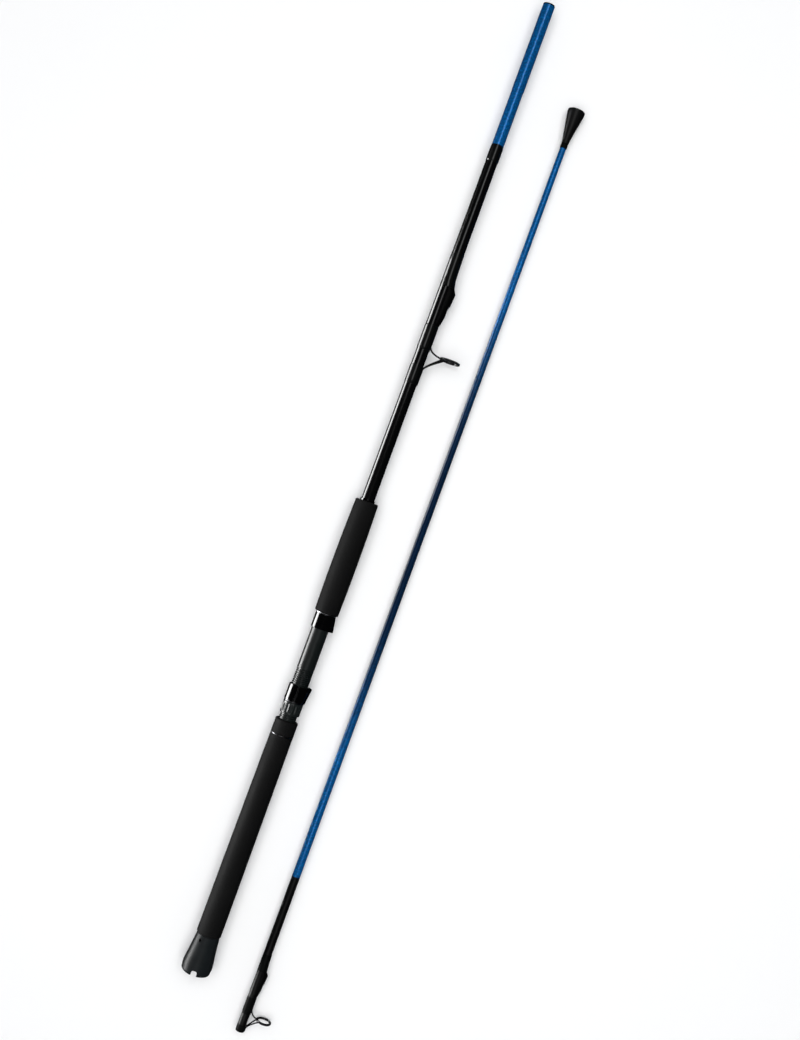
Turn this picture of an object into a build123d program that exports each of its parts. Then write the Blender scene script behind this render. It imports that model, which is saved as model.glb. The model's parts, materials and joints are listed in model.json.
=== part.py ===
"""Two-section boat fishing rod of the inner-line kind, taken apart and laid flat.

The line runs from the reel through one ring guide, enters the blank at an intake
hood, travels inside the blank and leaves through a funnel at the tip.

Row frame, in millimetres: +X runs along the butt section from its gimbal end to
its open mouth, +Z is up from the floor, and the guides stand out to -Y.
The origin is the centre of the gimbal's end face.
"""
from build123d import *
from collections import namedtuple
import math
import os

# ---------------------------------------------------------------- driving dimensions
# Butt section: places along X, and radii.
GIMBAL_LENGTH = 52.7
GIMBAL_RADIUS = 20.0
# the cap's outline from its end face to the grip, as (x, radius, rounding)
GIMBAL_OUTLINE = ((0.0, 19.2, 4.5), (11.0, GIMBAL_RADIUS, 10.0), (19.0, 19.1, 10.0),
                  (32.0, 17.4, None), (45.0, 16.0, None), (GIMBAL_LENGTH, 15.2, 2.0))
GIMBAL_WEB = 30.0            # the blank's butt end stops here, inside the cap
SLOT_WIDTH = 7.8             # cross slots for a rod belt's pin
SLOT_DEPTH = 8.0
SCREW_X = 45.8
SCREW_RADIUS = 2.0
SCREW_LENGTH = 5.6
SCREW_ANGLE = 26.0           # degrees from straight up, towards +Y
KEY_RADIUS = 1.1             # the six-sided recess in the screw's head, across corners
KEY_DEPTH = 2.5

REAR_GRIP_END = 328.0
REAR_GRIP_RADII = (16.5, 15.2)
REAR_GRIP_ROUNDS = (1.2, 0.8)
TRIM_WIDTH = 1.3
TRIM_PROUD = 0.2             # how far the rear trim ring stands out of the foam
COLLAR_END = 349.0
COLLAR_RADIUS = 15.3
COLLAR_ROUNDS = (0.6, 2.5)
SEAT_TAIL = 12.0             # how far the reel seat reaches into the collar
SEAT_TAIL_RADIUS = 11.0

BARREL_RADIUS = 11.8         # also the thread's crest
BARREL_BORE = 10.0
BARREL_END = 495.0
THREAD_END = 420.0
THREAD_PITCH = 2.5
THREAD_DEPTH = 0.9
GROOVE_FLOOR = (0.1, 0.35)   # where a groove's floor and the crest beside it lie, in parts of a pitch
GROOVE_CREST = (0.6, 0.85)
BED_FLAT = 11.0              # the flat bed under the reel's foot, from the axis
BED_WIDTH = 12.0
ARBOR_LENGTH = 20.0
ARBOR_PLACES = {"rear": 341.0, "middle": 405.0, "front": 472.0}

RUNNING_GAP = 0.08           # radial clearance of the nut and the moving hood
NUT_START = 357.0
NUT_END = 373.3
NUT_RADIUS = 13.4
NUT_ROUNDS = (1.2, 0.4)
NUT_FLUTES = 16
FLUTE_RADIUS = 1.7
FLUTE_SPAN = (359.5, 371.8)  # the plain lips outside it close the flutes
WASHER_START = 373.5
WASHER_END = 375.0
WASHER_ROUND = 0.3
MOVING_HOOD_END = 396.0
MOVING_RING_RADIUS = 13.8
FIXED_HOOD_START = 475.0
FIXED_RING_RADIUS = 13.4
BUMP_RADIUS = 12.4           # the round raised roof of both hoods
HOOD_WALL = 0.8
HOOD_ROUND = 0.8
HOOD_POCKET = 12.0           # how deep the reel's foot goes in
PAD_THICKNESS = 1.5
MOVING_BUMP = (1.9, 4.6)     # how far the roof's centre stands off the axis, back and mouth
FIXED_BUMP = (1.3, 4.6)

FRONT_TRIM_RADIUS = 13.9
FOREGRIP_START = 496.3
FOREGRIP_END = 651.0
FOREGRIP_RADII = (15.9, 16.5, 15.3)
FOREGRIP_ROUND = 1.8
CHECK_END = 653.5
CHECK_RADIUS = 9.9
CHECK_ROUND = 0.7

HANDLE_RADIUS = 8.8          # the butt blank under the grips
MOUTH_X = 1338.0
MOUTH_RADIUS = 7.6
LINE_BORE = 5.6
SOCKET_BORE = 6.25           # takes the lower end of the tip section
SOCKET_DEPTH = 110.0
BAND_SPAN = (1120.0, 1142.7)
BAND_THICKNESS = 0.45
SLEEVE_SPAN = (1219.0, 1337.4)
SLEEVE_THICKNESS = 0.3

# Tip section, in its own frame: x from its lower end.
TIP_PLACE = (-55.5, -81.2, -8.5)
TIP_LENGTH = 1243.5
TIP_RADII = (5.7, 4.1)
TIP_BORE = 3.4
FUNNEL_WRAP_START = 1227.0
FUNNEL_WRAP_THICKNESS = 0.6
FUNNEL_START = 1234.5
FUNNEL_NECK = 1237.5
FUNNEL_FLARE = 1276.1
FUNNEL_END = 1279.5
FUNNEL_NECK_RADIUS = 4.85
FUNNEL_RADIUS = 11.5
NECK_ROUND = 25.0
FLARE_ROUND = 6.0
LIP_ROUND = 0.9
RIM_SEAT = 1274.5
RIM_SEAT_RADIUS = 10.2
RIM_BORE = 9.2
RIM_ROUND = 0.4

# A ring guide: offsets are measured from the blank's axis, towards -Y.
Guide = namedtuple("Guide", "ring_x ring_offset outer inner eye width rear_foot front_foot "
                            "rear_leg_x leg_joint leg_spread front_leg_x wire")
BUTT_GUIDE = Guide(ring_x=858.0, ring_offset=38.2, outer=13.8, inner=12.0, eye=10.6, width=3.2,
                   rear_foot=(814.0, 840.0), front_foot=(861.0, 895.0), rear_leg_x=840.0,
                   leg_joint=30.7, leg_spread=10.6, front_leg_x=862.0, wire=1.15)
TIP_GUIDE = Guide(ring_x=21.8, ring_offset=25.3, outer=10.2, inner=8.9, eye=7.8, width=2.6,
                  rear_foot=(0.5, 9.5), front_foot=(24.7, 47.5), rear_leg_x=9.0,
                  leg_joint=19.5, leg_spread=7.6, front_leg_x=25.2, wire=0.9)
FOOT_THICKNESS = 0.7
FOOT_WIDTH = 4.4
WRAP_LIFT = 1.0              # how far a winding stands off the blank over a guide's foot
WRAP_BACK = 0.15             # the same, on the side away from the foot

# An intake hood: the outline is (x, offset); the winding closes its tail.
Intake = namedtuple("Intake", "outline nose winding half_width back aim_x bore wall")
BUTT_INTAKE = Intake(outline=((895.0, 9.1), (903.0, 11.1), (916.0, 13.2), (929.0, 14.5), (942.0, 15.4)),
                     nose=(948.0, 11.9), winding=((959.0, 9.6), (975.0, 8.9), (994.0, 8.6)),
                     half_width=7.2, back=3.0, aim_x=950.0, bore=3.6, wall=0.8)
TIP_INTAKE = Intake(outline=((47.5, 5.9), (55.0, 7.9), (68.0, 9.5), (79.0, 10.3)),
                    nose=(84.0, 7.3), winding=((94.0, 6.4), (107.0, 6.0)),
                    half_width=5.0, back=2.0, aim_x=86.0, bore=2.4, wall=0.6)

os.makedirs("parts", exist_ok=True)
TIP_AT = Location(TIP_PLACE)


# ---------------------------------------------------------------- helpers
def save(piece, label, place=None):
    """Label a finished piece, put it in its place and write its STEP file."""
    solid = piece.part.moved(place) if place else piece.part
    solid.label = label
    export_step(solid, f"parts/{label}.step")


def turned(outline, rounds=()):
    """A solid turned about X. Rounds are (x, radius, fillet) corners of the outline."""
    with BuildPart() as piece:
        with BuildSketch(Plane.XY) as profile:
            with BuildLine():
                Polyline(*outline, close=True)
            make_face()
            for x, radius, size in rounds:
                corner = profile.vertices().sort_by_distance((x, radius, 0))[0]
                fillet(corner, radius=size)
        revolve(axis=Axis.X)
    return piece


def butt_radius(x):
    """Outside of the butt blank: straight under the grips, then an even taper."""
    run = max(0.0, x - CHECK_END) / (MOUTH_X - CHECK_END)
    return HANDLE_RADIUS + run * (MOUTH_RADIUS - HANDLE_RADIUS)


def tip_radius(x):
    """Outside of the tip blank."""
    return TIP_RADII[0] + x / TIP_LENGTH * (TIP_RADII[1] - TIP_RADII[0])


def sleeve(span, thickness, radius_at):
    """A thin winding or sleeve that follows the blank's taper."""
    start, end = span
    inner_start, inner_end = radius_at(start), radius_at(end)
    return turned([(start, inner_start), (start, inner_start + thickness),
                   (end, inner_end + thickness), (end, inner_end)])


def slice_of_blank(start, end, radius_at):
    """The blank as a plain solid between two places, for cutting seats in what sits on it."""
    with BuildPart() as blank:
        with BuildSketch(Plane.XY):
            with BuildLine():
                Polyline((start, 0), (start, radius_at(start)), (end, radius_at(end)), (end, 0),
                         close=True)
            make_face()
        revolve(axis=Axis.X)
    return blank.part


# ---------------------------------------------------------------- gimbal end
with BuildPart() as gimbal_cap:
    with BuildSketch(Plane.XY) as gimbal_profile:
        with BuildLine():
            Polyline((0, 0), *((x, radius) for x, radius, size in GIMBAL_OUTLINE),
                     (GIMBAL_LENGTH, HANDLE_RADIUS), (GIMBAL_WEB, HANDLE_RADIUS), (GIMBAL_WEB, 0),
                     close=True)
        make_face()
        for x, radius, size in GIMBAL_OUTLINE:
            if size:
                fillet(gimbal_profile.vertices().sort_by_distance((x, radius, 0))[0], radius=size)
    revolve(axis=Axis.X)
    # two slots cross the end face; each runs right through
    for plane in (Plane.XZ, Plane.XY):
        with BuildSketch(plane) as slot:
            Rectangle(2 * SLOT_DEPTH, SLOT_WIDTH)
            fillet(slot.vertices().group_by(Axis.X)[-1], radius=0.4 * SLOT_WIDTH)
        extrude(amount=1.2 * GIMBAL_RADIUS, both=True, mode=Mode.SUBTRACT)
    # radial hole for the screw that keeps the cap on the blank
    screw_turn = math.radians(SCREW_ANGLE)
    screw_plane = Plane(origin=(SCREW_X, 0, 0), x_dir=(1, 0, 0),
                        z_dir=(0, math.sin(screw_turn), math.cos(screw_turn)))
    with BuildSketch(screw_plane):
        Circle(SCREW_RADIUS)
    extrude(amount=GIMBAL_RADIUS, mode=Mode.SUBTRACT)
save(gimbal_cap, "gimbal_cap")

with BuildPart() as gimbal_screw:
    with BuildSketch(screw_plane.offset(HANDLE_RADIUS)):
        Circle(SCREW_RADIUS)
    extrude(amount=SCREW_LENGTH)
    with BuildSketch(screw_plane.offset(HANDLE_RADIUS + SCREW_LENGTH)):
        RegularPolygon(radius=KEY_RADIUS, side_count=6)
    extrude(amount=-KEY_DEPTH, mode=Mode.SUBTRACT)
save(gimbal_screw, "gimbal_screw")

# ---------------------------------------------------------------- grips and trim
rear_grip = turned([(GIMBAL_LENGTH, HANDLE_RADIUS), (GIMBAL_LENGTH, REAR_GRIP_RADII[0]),
                    (REAR_GRIP_END, REAR_GRIP_RADII[1]), (REAR_GRIP_END, HANDLE_RADIUS)],
                   [(GIMBAL_LENGTH, REAR_GRIP_RADII[0], REAR_GRIP_ROUNDS[0]),
                    (REAR_GRIP_END, REAR_GRIP_RADII[1], REAR_GRIP_ROUNDS[1])])
save(rear_grip, "rear_grip")

COLLAR_START = REAR_GRIP_END + TRIM_WIDTH
rear_trim_ring = turned([(REAR_GRIP_END, HANDLE_RADIUS), (REAR_GRIP_END, COLLAR_RADIUS + TRIM_PROUD),
                         (COLLAR_START, COLLAR_RADIUS + TRIM_PROUD), (COLLAR_START, HANDLE_RADIUS)])
save(rear_trim_ring, "rear_trim_ring")

SEAT_START = COLLAR_END - SEAT_TAIL
collar_grip = turned([(COLLAR_START, HANDLE_RADIUS), (COLLAR_START, COLLAR_RADIUS),
                      (COLLAR_END, COLLAR_RADIUS), (COLLAR_END, SEAT_TAIL_RADIUS),
                      (SEAT_START, SEAT_TAIL_RADIUS), (SEAT_START, HANDLE_RADIUS)],
                     [(COLLAR_START, COLLAR_RADIUS, COLLAR_ROUNDS[0]),
                      (COLLAR_END, COLLAR_RADIUS, COLLAR_ROUNDS[1])])
save(collar_grip, "collar_grip")

front_trim_ring = turned([(BARREL_END, HANDLE_RADIUS), (BARREL_END, FRONT_TRIM_RADIUS),
                          (FOREGRIP_START, FRONT_TRIM_RADIUS), (FOREGRIP_START, HANDLE_RADIUS)])
save(front_trim_ring, "front_trim_ring")

with BuildPart() as foregrip:
    with BuildSketch(Plane.XY) as foregrip_profile:
        with BuildLine():
            Line((FOREGRIP_START, HANDLE_RADIUS), (FOREGRIP_START, FOREGRIP_RADII[0]))
            ThreePointArc((FOREGRIP_START, FOREGRIP_RADII[0]),
                          ((FOREGRIP_START + FOREGRIP_END) / 2, FOREGRIP_RADII[1]),
                          (FOREGRIP_END, FOREGRIP_RADII[2]))
            Line((FOREGRIP_END, FOREGRIP_RADII[2]), (FOREGRIP_END, HANDLE_RADIUS))
            Line((FOREGRIP_END, HANDLE_RADIUS), (FOREGRIP_START, HANDLE_RADIUS))
        make_face()
        for x, radius in ((FOREGRIP_START, FOREGRIP_RADII[0]), (FOREGRIP_END, FOREGRIP_RADII[2])):
            fillet(foregrip_profile.vertices().sort_by_distance((x, radius, 0))[0],
                   radius=FOREGRIP_ROUND)
    revolve(axis=Axis.X)
save(foregrip, "foregrip")

winding_check = turned([(FOREGRIP_END, HANDLE_RADIUS), (FOREGRIP_END, CHECK_RADIUS),
                        (CHECK_END, CHECK_RADIUS), (CHECK_END, HANDLE_RADIUS)],
                       [(CHECK_END, CHECK_RADIUS, CHECK_ROUND)])
save(winding_check, "winding_check")

# ---------------------------------------------------------------- reel seat
with BuildPart() as seat_barrel:
    # the thread is drawn as evenly pitched ring grooves
    teeth = []
    for turn in range(int((THREAD_END - COLLAR_END) / THREAD_PITCH)):
        start = COLLAR_END + turn * THREAD_PITCH
        for steps, radius in ((GROOVE_FLOOR, BARREL_RADIUS - THREAD_DEPTH), (GROOVE_CREST, BARREL_RADIUS)):
            teeth += [(start + step * THREAD_PITCH, radius) for step in steps]
    with BuildSketch(Plane.XY):
        with BuildLine():
            Polyline((SEAT_START, BARREL_BORE), (SEAT_START, SEAT_TAIL_RADIUS),
                     (COLLAR_END, SEAT_TAIL_RADIUS), *teeth,
                     (BARREL_END, BARREL_RADIUS), (BARREL_END, BARREL_BORE), close=True)
        make_face()
    revolve(axis=Axis.X)
    # the flat bed runs the whole length of the barrel and keys the moving hood
    with BuildSketch(Plane.XY):
        with Locations(((COLLAR_END + BARREL_END) / 2, -BED_FLAT - BARREL_RADIUS / 2)):
            Rectangle(BARREL_END - COLLAR_END, BARREL_RADIUS)
    extrude(amount=BED_WIDTH / 2, both=True, mode=Mode.SUBTRACT)
save(seat_barrel, "seat_barrel")

for name, start in ARBOR_PLACES.items():
    arbor = turned([(start, HANDLE_RADIUS), (start, BARREL_BORE),
                    (start + ARBOR_LENGTH, BARREL_BORE), (start + ARBOR_LENGTH, HANDLE_RADIUS)])
    save(arbor, f"seat_arbor_{name}")


def hood_roof(back_x, mouth_x, bump, radius):
    """The raised roof over the reel's foot: a round bar that leans away from the axis."""
    with BuildPart() as roof:
        for x, stand_off in ((back_x, bump[0]), (mouth_x, bump[1])):
            with BuildSketch(Plane.YZ.offset(x)):
                with Locations((-stand_off, 0)):
                    Circle(radius)
        loft(ruled=True)
    return roof.part


def hood(back_x, mouth_x, bump, ring_radius, bore, key_flat):
    """A hood of the reel seat. The key closes the bore's flat side behind the pocket."""
    start, end = sorted((back_x, mouth_x))
    inward = math.copysign(1.0, back_x - mouth_x)
    pocket_end = mouth_x + inward * HOOD_POCKET
    roof = hood_roof(back_x, mouth_x, bump, BUMP_RADIUS)
    pocket = hood_roof(back_x, mouth_x, bump, BUMP_RADIUS - HOOD_WALL)
    with BuildPart() as piece:
        with BuildSketch(Plane.YZ.offset(start)):
            Circle(ring_radius)
        extrude(amount=end - start)
        add(roof)
        fillet(piece.edges().filter_by(GeomType.CIRCLE).group_by(Axis.X)[0 if inward < 0 else -1],
               radius=HOOD_ROUND)
        with BuildSketch(Plane.YZ.offset(start)) as barrel_hole:
            Circle(bore)
            with Locations((-key_flat - bore / 2, 0)):
                Rectangle(bore, BED_WIDTH, mode=Mode.SUBTRACT)
        extrude(amount=end - start, mode=Mode.SUBTRACT)
        with BuildPart(mode=Mode.PRIVATE) as pocket_room:
            add(pocket)
            split(bisect_by=Plane.YZ.offset(pocket_end), keep=Keep.TOP if inward < 0 else Keep.BOTTOM)
        add(pocket_room.part, mode=Mode.SUBTRACT)
    return piece


def hood_pad(back_x, mouth_x, bump):
    """The soft pad at the blind end of a hood's pocket, where the reel's foot stops."""
    inward = math.copysign(1.0, back_x - mouth_x)
    pocket_end = mouth_x + inward * HOOD_POCKET
    pad_face = pocket_end - inward * PAD_THICKNESS
    low, high = sorted((pocket_end, pad_face))
    pocket = hood_roof(back_x, mouth_x, bump, BUMP_RADIUS - HOOD_WALL)
    with BuildPart() as piece:
        with BuildSketch(Plane.YZ.offset(low)):
            with Locations((-BED_FLAT - 2 * RUNNING_GAP - BUMP_RADIUS / 2, 0)):
                Rectangle(BUMP_RADIUS, 0.7 * BED_WIDTH)
        extrude(amount=high - low)
        add(pocket, mode=Mode.INTERSECT)
    return piece


moving_hood = hood(WASHER_END, MOVING_HOOD_END, MOVING_BUMP, MOVING_RING_RADIUS,
                   BARREL_RADIUS + RUNNING_GAP, BED_FLAT + RUNNING_GAP)
save(moving_hood, "moving_hood")
save(hood_pad(WASHER_END, MOVING_HOOD_END, MOVING_BUMP), "moving_hood_pad")

fixed_hood = hood(BARREL_END, FIXED_HOOD_START, FIXED_BUMP, FIXED_RING_RADIUS, BARREL_RADIUS, BED_FLAT)
save(fixed_hood, "fixed_hood")
save(hood_pad(BARREL_END, FIXED_HOOD_START, FIXED_BUMP), "fixed_hood_pad")

hood_washer = turned([(WASHER_START, BARREL_RADIUS + RUNNING_GAP), (WASHER_START, NUT_RADIUS),
                      (WASHER_END, NUT_RADIUS), (WASHER_END, BARREL_RADIUS + RUNNING_GAP)],
                     [(WASHER_START, NUT_RADIUS, WASHER_ROUND)])
save(hood_washer, "hood_washer")

with BuildPart() as lock_nut:
    with BuildSketch(Plane.XY) as nut_profile:
        with BuildLine():
            Polyline((NUT_START, BARREL_RADIUS + RUNNING_GAP), (NUT_START, NUT_RADIUS),
                     (NUT_END, NUT_RADIUS), (NUT_END, BARREL_RADIUS + RUNNING_GAP), close=True)
        make_face()
        fillet(nut_profile.vertices().sort_by_distance((NUT_START, NUT_RADIUS, 0))[0], radius=NUT_ROUNDS[0])
        fillet(nut_profile.vertices().sort_by_distance((NUT_END, NUT_RADIUS, 0))[0], radius=NUT_ROUNDS[1])
    revolve(axis=Axis.X)
    with BuildSketch(Plane.YZ.offset(FLUTE_SPAN[0])):
        with PolarLocations(NUT_RADIUS + 0.55 * FLUTE_RADIUS, NUT_FLUTES):
            Circle(FLUTE_RADIUS)
    extrude(amount=FLUTE_SPAN[1] - FLUTE_SPAN[0], mode=Mode.SUBTRACT)
save(lock_nut, "lock_nut")


# ---------------------------------------------------------------- guides and intakes
def guide_frame(guide, radius_at):
    """The ring holder with two rear legs, one front leg and a foot at each end."""
    rear_start, rear_end = guide.rear_foot
    front_start, front_end = guide.front_foot
    foot_spans = ((rear_start + 0.6, rear_end), (front_start, front_end - 0.6))
    with BuildPart() as frame:
        with BuildSketch(Plane.YZ.offset(guide.ring_x - guide.width / 2)):
            with Locations((-guide.ring_offset, 0)):
                Circle(guide.outer)
                Circle(guide.inner, mode=Mode.SUBTRACT)
        extrude(amount=guide.width)
        fillet(frame.edges().filter_by(GeomType.CIRCLE).sort_by(SortBy.RADIUS)[-2:],
               radius=0.45 * (guide.outer - guide.inner))
        for start, end in foot_spans:
            deck = radius_at(start) + FOOT_THICKNESS
            with BuildSketch(Plane.XY):
                with Locations(((start + end) / 2, -deck / 2)):
                    Rectangle(end - start, deck)
            extrude(amount=FOOT_WIDTH / 2, both=True)
        add(slice_of_blank(rear_start - 5, front_end + 5, radius_at), mode=Mode.SUBTRACT)
        rear_deck = -radius_at(rear_end) - 0.5 * FOOT_THICKNESS
        for side in (-1, 1):
            with BuildLine() as rear_leg:
                Bezier((guide.rear_leg_x - 3.0, rear_deck, side * 1.0),
                       (guide.rear_leg_x + 2.0, rear_deck - guide.wire, side * 1.4),
                       (guide.ring_x - 0.2, -guide.leg_joint, side * guide.leg_spread))
            with BuildSketch(Plane(origin=rear_leg.line @ 0, z_dir=rear_leg.line % 0)):
                Circle(guide.wire)
            sweep(path=rear_leg.line)
        bottom = -(guide.ring_offset - 0.5 * (guide.outer + guide.inner))
        with BuildLine() as front_leg:
            Bezier((guide.front_leg_x + 5.0, -radius_at(guide.front_leg_x) - 0.4, 0),
                   (guide.front_leg_x - 2.2, -radius_at(guide.front_leg_x) - 2.5, 0),
                   (guide.ring_x, bottom, 0))
        with BuildSketch(Plane(origin=front_leg.line @ 0, z_dir=front_leg.line % 0)):
            Circle(guide.wire)
        sweep(path=front_leg.line)
        # what would reach into the blank or into the ring's seat is taken off again
        add(slice_of_blank(rear_start - 5, front_end + 5, radius_at), mode=Mode.SUBTRACT)
        with BuildSketch(Plane.YZ.offset(guide.ring_x)):
            with Locations((-guide.ring_offset, 0)):
                Circle(guide.inner)
        extrude(amount=guide.width, both=True, mode=Mode.SUBTRACT)
    return frame


def guide_ring(guide):
    """The hard insert that the line runs through, rounded where the line bears."""
    with BuildPart() as ring:
        with BuildSketch(Plane.YZ.offset(guide.ring_x - guide.width / 2)):
            with Locations((-guide.ring_offset, 0)):
                Circle(guide.inner)
                Circle(guide.eye, mode=Mode.SUBTRACT)
        extrude(amount=guide.width)
        fillet(ring.edges().filter_by(GeomType.CIRCLE).sort_by(SortBy.RADIUS)[:2],
               radius=0.45 * (guide.inner - guide.eye))
    return ring


def foot_winding(span, radius_at, frame, lift=WRAP_LIFT):
    """The winding over a guide's foot: proud on the foot's side, close on the other."""
    start, end = span
    base = radius_at(start)
    radius = base + (lift + WRAP_BACK) / 2
    with BuildPart() as winding:
        with BuildSketch(Plane.YZ.offset(start)):
            with Locations((-(lift - WRAP_BACK) / 2, 0)):
                Circle(radius)
        extrude(amount=end - start)
        add(slice_of_blank(start - 5, end + 5, radius_at), mode=Mode.SUBTRACT)
        add(frame.part, mode=Mode.SUBTRACT)
    return winding


def intake_body(intake):
    """The hood's outside before anything is cut: a swelling back and a steep nose."""
    with BuildPart() as body:
        for run in (intake.outline, (intake.outline[-1], intake.nose)):
            with BuildPart(mode=Mode.PRIVATE) as stretch:
                for x, offset in run:
                    with BuildSketch(Plane.YZ.offset(x)):
                        with Locations(((intake.back - offset) / 2, 0)):
                            Ellipse((offset + intake.back) / 2, intake.half_width)
                loft()
            add(stretch.part)
    return body.part


def line_entry(intake, guide, radius):
    """The slanted round way from the guide's ring down into the blank."""
    lean = math.atan2(guide.ring_offset, intake.aim_x - guide.ring_x)
    direction = Vector(math.cos(lean), math.sin(lean), 0)
    reach = guide.ring_offset / math.sin(lean)
    with BuildPart() as way:
        with BuildSketch(Plane(origin=(guide.ring_x, -guide.ring_offset, 0), z_dir=direction)):
            Circle(radius)
        extrude(amount=reach)
    return way.part


def intake_hood(intake, guide, radius_at):
    with BuildPart() as piece:
        add(intake_body(intake))
        add(slice_of_blank(intake.outline[0][0] - 5, intake.nose[0] + 5, radius_at), mode=Mode.SUBTRACT)
        add(line_entry(intake, guide, intake.bore + intake.wall), mode=Mode.SUBTRACT)
    return piece


def intake_liner(intake, guide, bore):
    """The hard tube in the slanted way, flush with the hood and with the blank's bore."""
    with BuildPart() as piece:
        add(intake_body(intake))
        add(line_entry(intake, guide, intake.bore + intake.wall), mode=Mode.INTERSECT)
        add(line_entry(intake, guide, intake.bore), mode=Mode.SUBTRACT)
        with BuildSketch(Plane.YZ.offset(intake.outline[0][0] - 5)):
            Circle(bore)
        extrude(amount=intake.nose[0] - intake.outline[0][0] + 15, mode=Mode.SUBTRACT)
    return piece


def intake_winding(intake, radius_at):
    """The winding that ends the hood: it runs out to the blank towards the tip."""
    stations = (intake.nose,) + intake.winding
    with BuildPart() as piece:
        for x, offset in stations:
            back = radius_at(x) + WRAP_BACK
            with BuildSketch(Plane.YZ.offset(x)):
                with Locations((-(offset - back) / 2, 0)):
                    Circle((offset + back) / 2)
        loft(ruled=True)
        add(slice_of_blank(stations[0][0] - 5, stations[-1][0] + 5, radius_at), mode=Mode.SUBTRACT)
    return piece


def save_line_fittings(section, guide, intake, radius_at, bore, place=None):
    """Write a section's ring guide, its windings and its intake."""
    frame = guide_frame(guide, radius_at)
    save(frame, f"{section}_guide_frame", place)
    save(guide_ring(guide), f"{section}_guide_ring", place)
    save(foot_winding(guide.rear_foot, radius_at, frame), f"{section}_guide_rear_winding", place)
    save(foot_winding(guide.front_foot, radius_at, frame), f"{section}_guide_front_winding", place)
    save(intake_hood(intake, guide, radius_at), f"{section}_intake_hood", place)
    save(intake_liner(intake, guide, bore), f"{section}_intake_liner", place)
    save(intake_winding(intake, radius_at), f"{section}_intake_winding", place)


save_line_fittings("butt", BUTT_GUIDE, BUTT_INTAKE, butt_radius, LINE_BORE)
save_line_fittings("tip", TIP_GUIDE, TIP_INTAKE, tip_radius, TIP_BORE, TIP_AT)

# ---------------------------------------------------------------- butt blank
with BuildPart() as butt_blank:
    with BuildSketch(Plane.XY):
        with BuildLine():
            Polyline((GIMBAL_WEB, LINE_BORE), (GIMBAL_WEB, HANDLE_RADIUS), (CHECK_END, HANDLE_RADIUS),
                     (MOUTH_X, MOUTH_RADIUS), (MOUTH_X, SOCKET_BORE),
                     (MOUTH_X - SOCKET_DEPTH, SOCKET_BORE), (MOUTH_X - SOCKET_DEPTH, LINE_BORE),
                     close=True)
        make_face()
    revolve(axis=Axis.X)
    add(line_entry(BUTT_INTAKE, BUTT_GUIDE, BUTT_INTAKE.bore + BUTT_INTAKE.wall), mode=Mode.SUBTRACT)
save(butt_blank, "butt_blank")

save(sleeve(BAND_SPAN, BAND_THICKNESS, butt_radius), "colour_break_band")
save(sleeve(SLEEVE_SPAN, SLEEVE_THICKNESS, butt_radius), "ferrule_sleeve")

# ---------------------------------------------------------------- tip section
with BuildPart() as tip_blank:
    with BuildSketch(Plane.XY):
        with BuildLine():
            Polyline((0, TIP_BORE), (0, TIP_RADII[0]), (TIP_LENGTH, TIP_RADII[1]),
                     (TIP_LENGTH, TIP_BORE), close=True)
        make_face()
    revolve(axis=Axis.X)
    add(line_entry(TIP_INTAKE, TIP_GUIDE, TIP_INTAKE.bore + TIP_INTAKE.wall), mode=Mode.SUBTRACT)
save(tip_blank, "tip_blank", TIP_AT)

save(sleeve((FUNNEL_WRAP_START, FUNNEL_START), FUNNEL_WRAP_THICKNESS, tip_radius),
     "tip_funnel_winding", TIP_AT)

tip_funnel = turned([(FUNNEL_START, tip_radius(FUNNEL_START)), (FUNNEL_START, FUNNEL_NECK_RADIUS),
                     (FUNNEL_NECK, FUNNEL_NECK_RADIUS), (FUNNEL_FLARE, FUNNEL_RADIUS),
                     (FUNNEL_END, FUNNEL_RADIUS), (FUNNEL_END, RIM_SEAT_RADIUS),
                     (RIM_SEAT, RIM_SEAT_RADIUS), (RIM_SEAT, RIM_BORE), (TIP_LENGTH, TIP_BORE),
                     (TIP_LENGTH, TIP_RADII[1])],
                    [(FUNNEL_NECK, FUNNEL_NECK_RADIUS, NECK_ROUND),
                     (FUNNEL_FLARE, FUNNEL_RADIUS, FLARE_ROUND),
                     (FUNNEL_END, FUNNEL_RADIUS, LIP_ROUND)])
save(tip_funnel, "tip_funnel", TIP_AT)

tip_rim_ring = turned([(RIM_SEAT, RIM_BORE), (RIM_SEAT, RIM_SEAT_RADIUS),
                       (FUNNEL_END, RIM_SEAT_RADIUS), (FUNNEL_END, RIM_BORE + RIM_ROUND)],
                      [(FUNNEL_END, RIM_BORE + RIM_ROUND, RIM_ROUND)])
save(tip_rim_ring, "tip_rim_ring", TIP_AT)
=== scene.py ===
# %% [markdown]
# # A two-section boat rod, laid out on a pale table
#
# The rod is taken apart: a butt section with its grips and reel seat, and a tip section that ends
# in a funnel. The imported model already holds every part at its true size, so this lesson starts
# from that frame. It paints the hard parts, and it builds the parts whose surface needs more than
# paint: foam grips, the cut thread, the fluted nut and resin-coated windings.

# %% Load the frame
import bmesh
import bpy
import json
import math
from mathutils import Matrix, Vector

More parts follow.
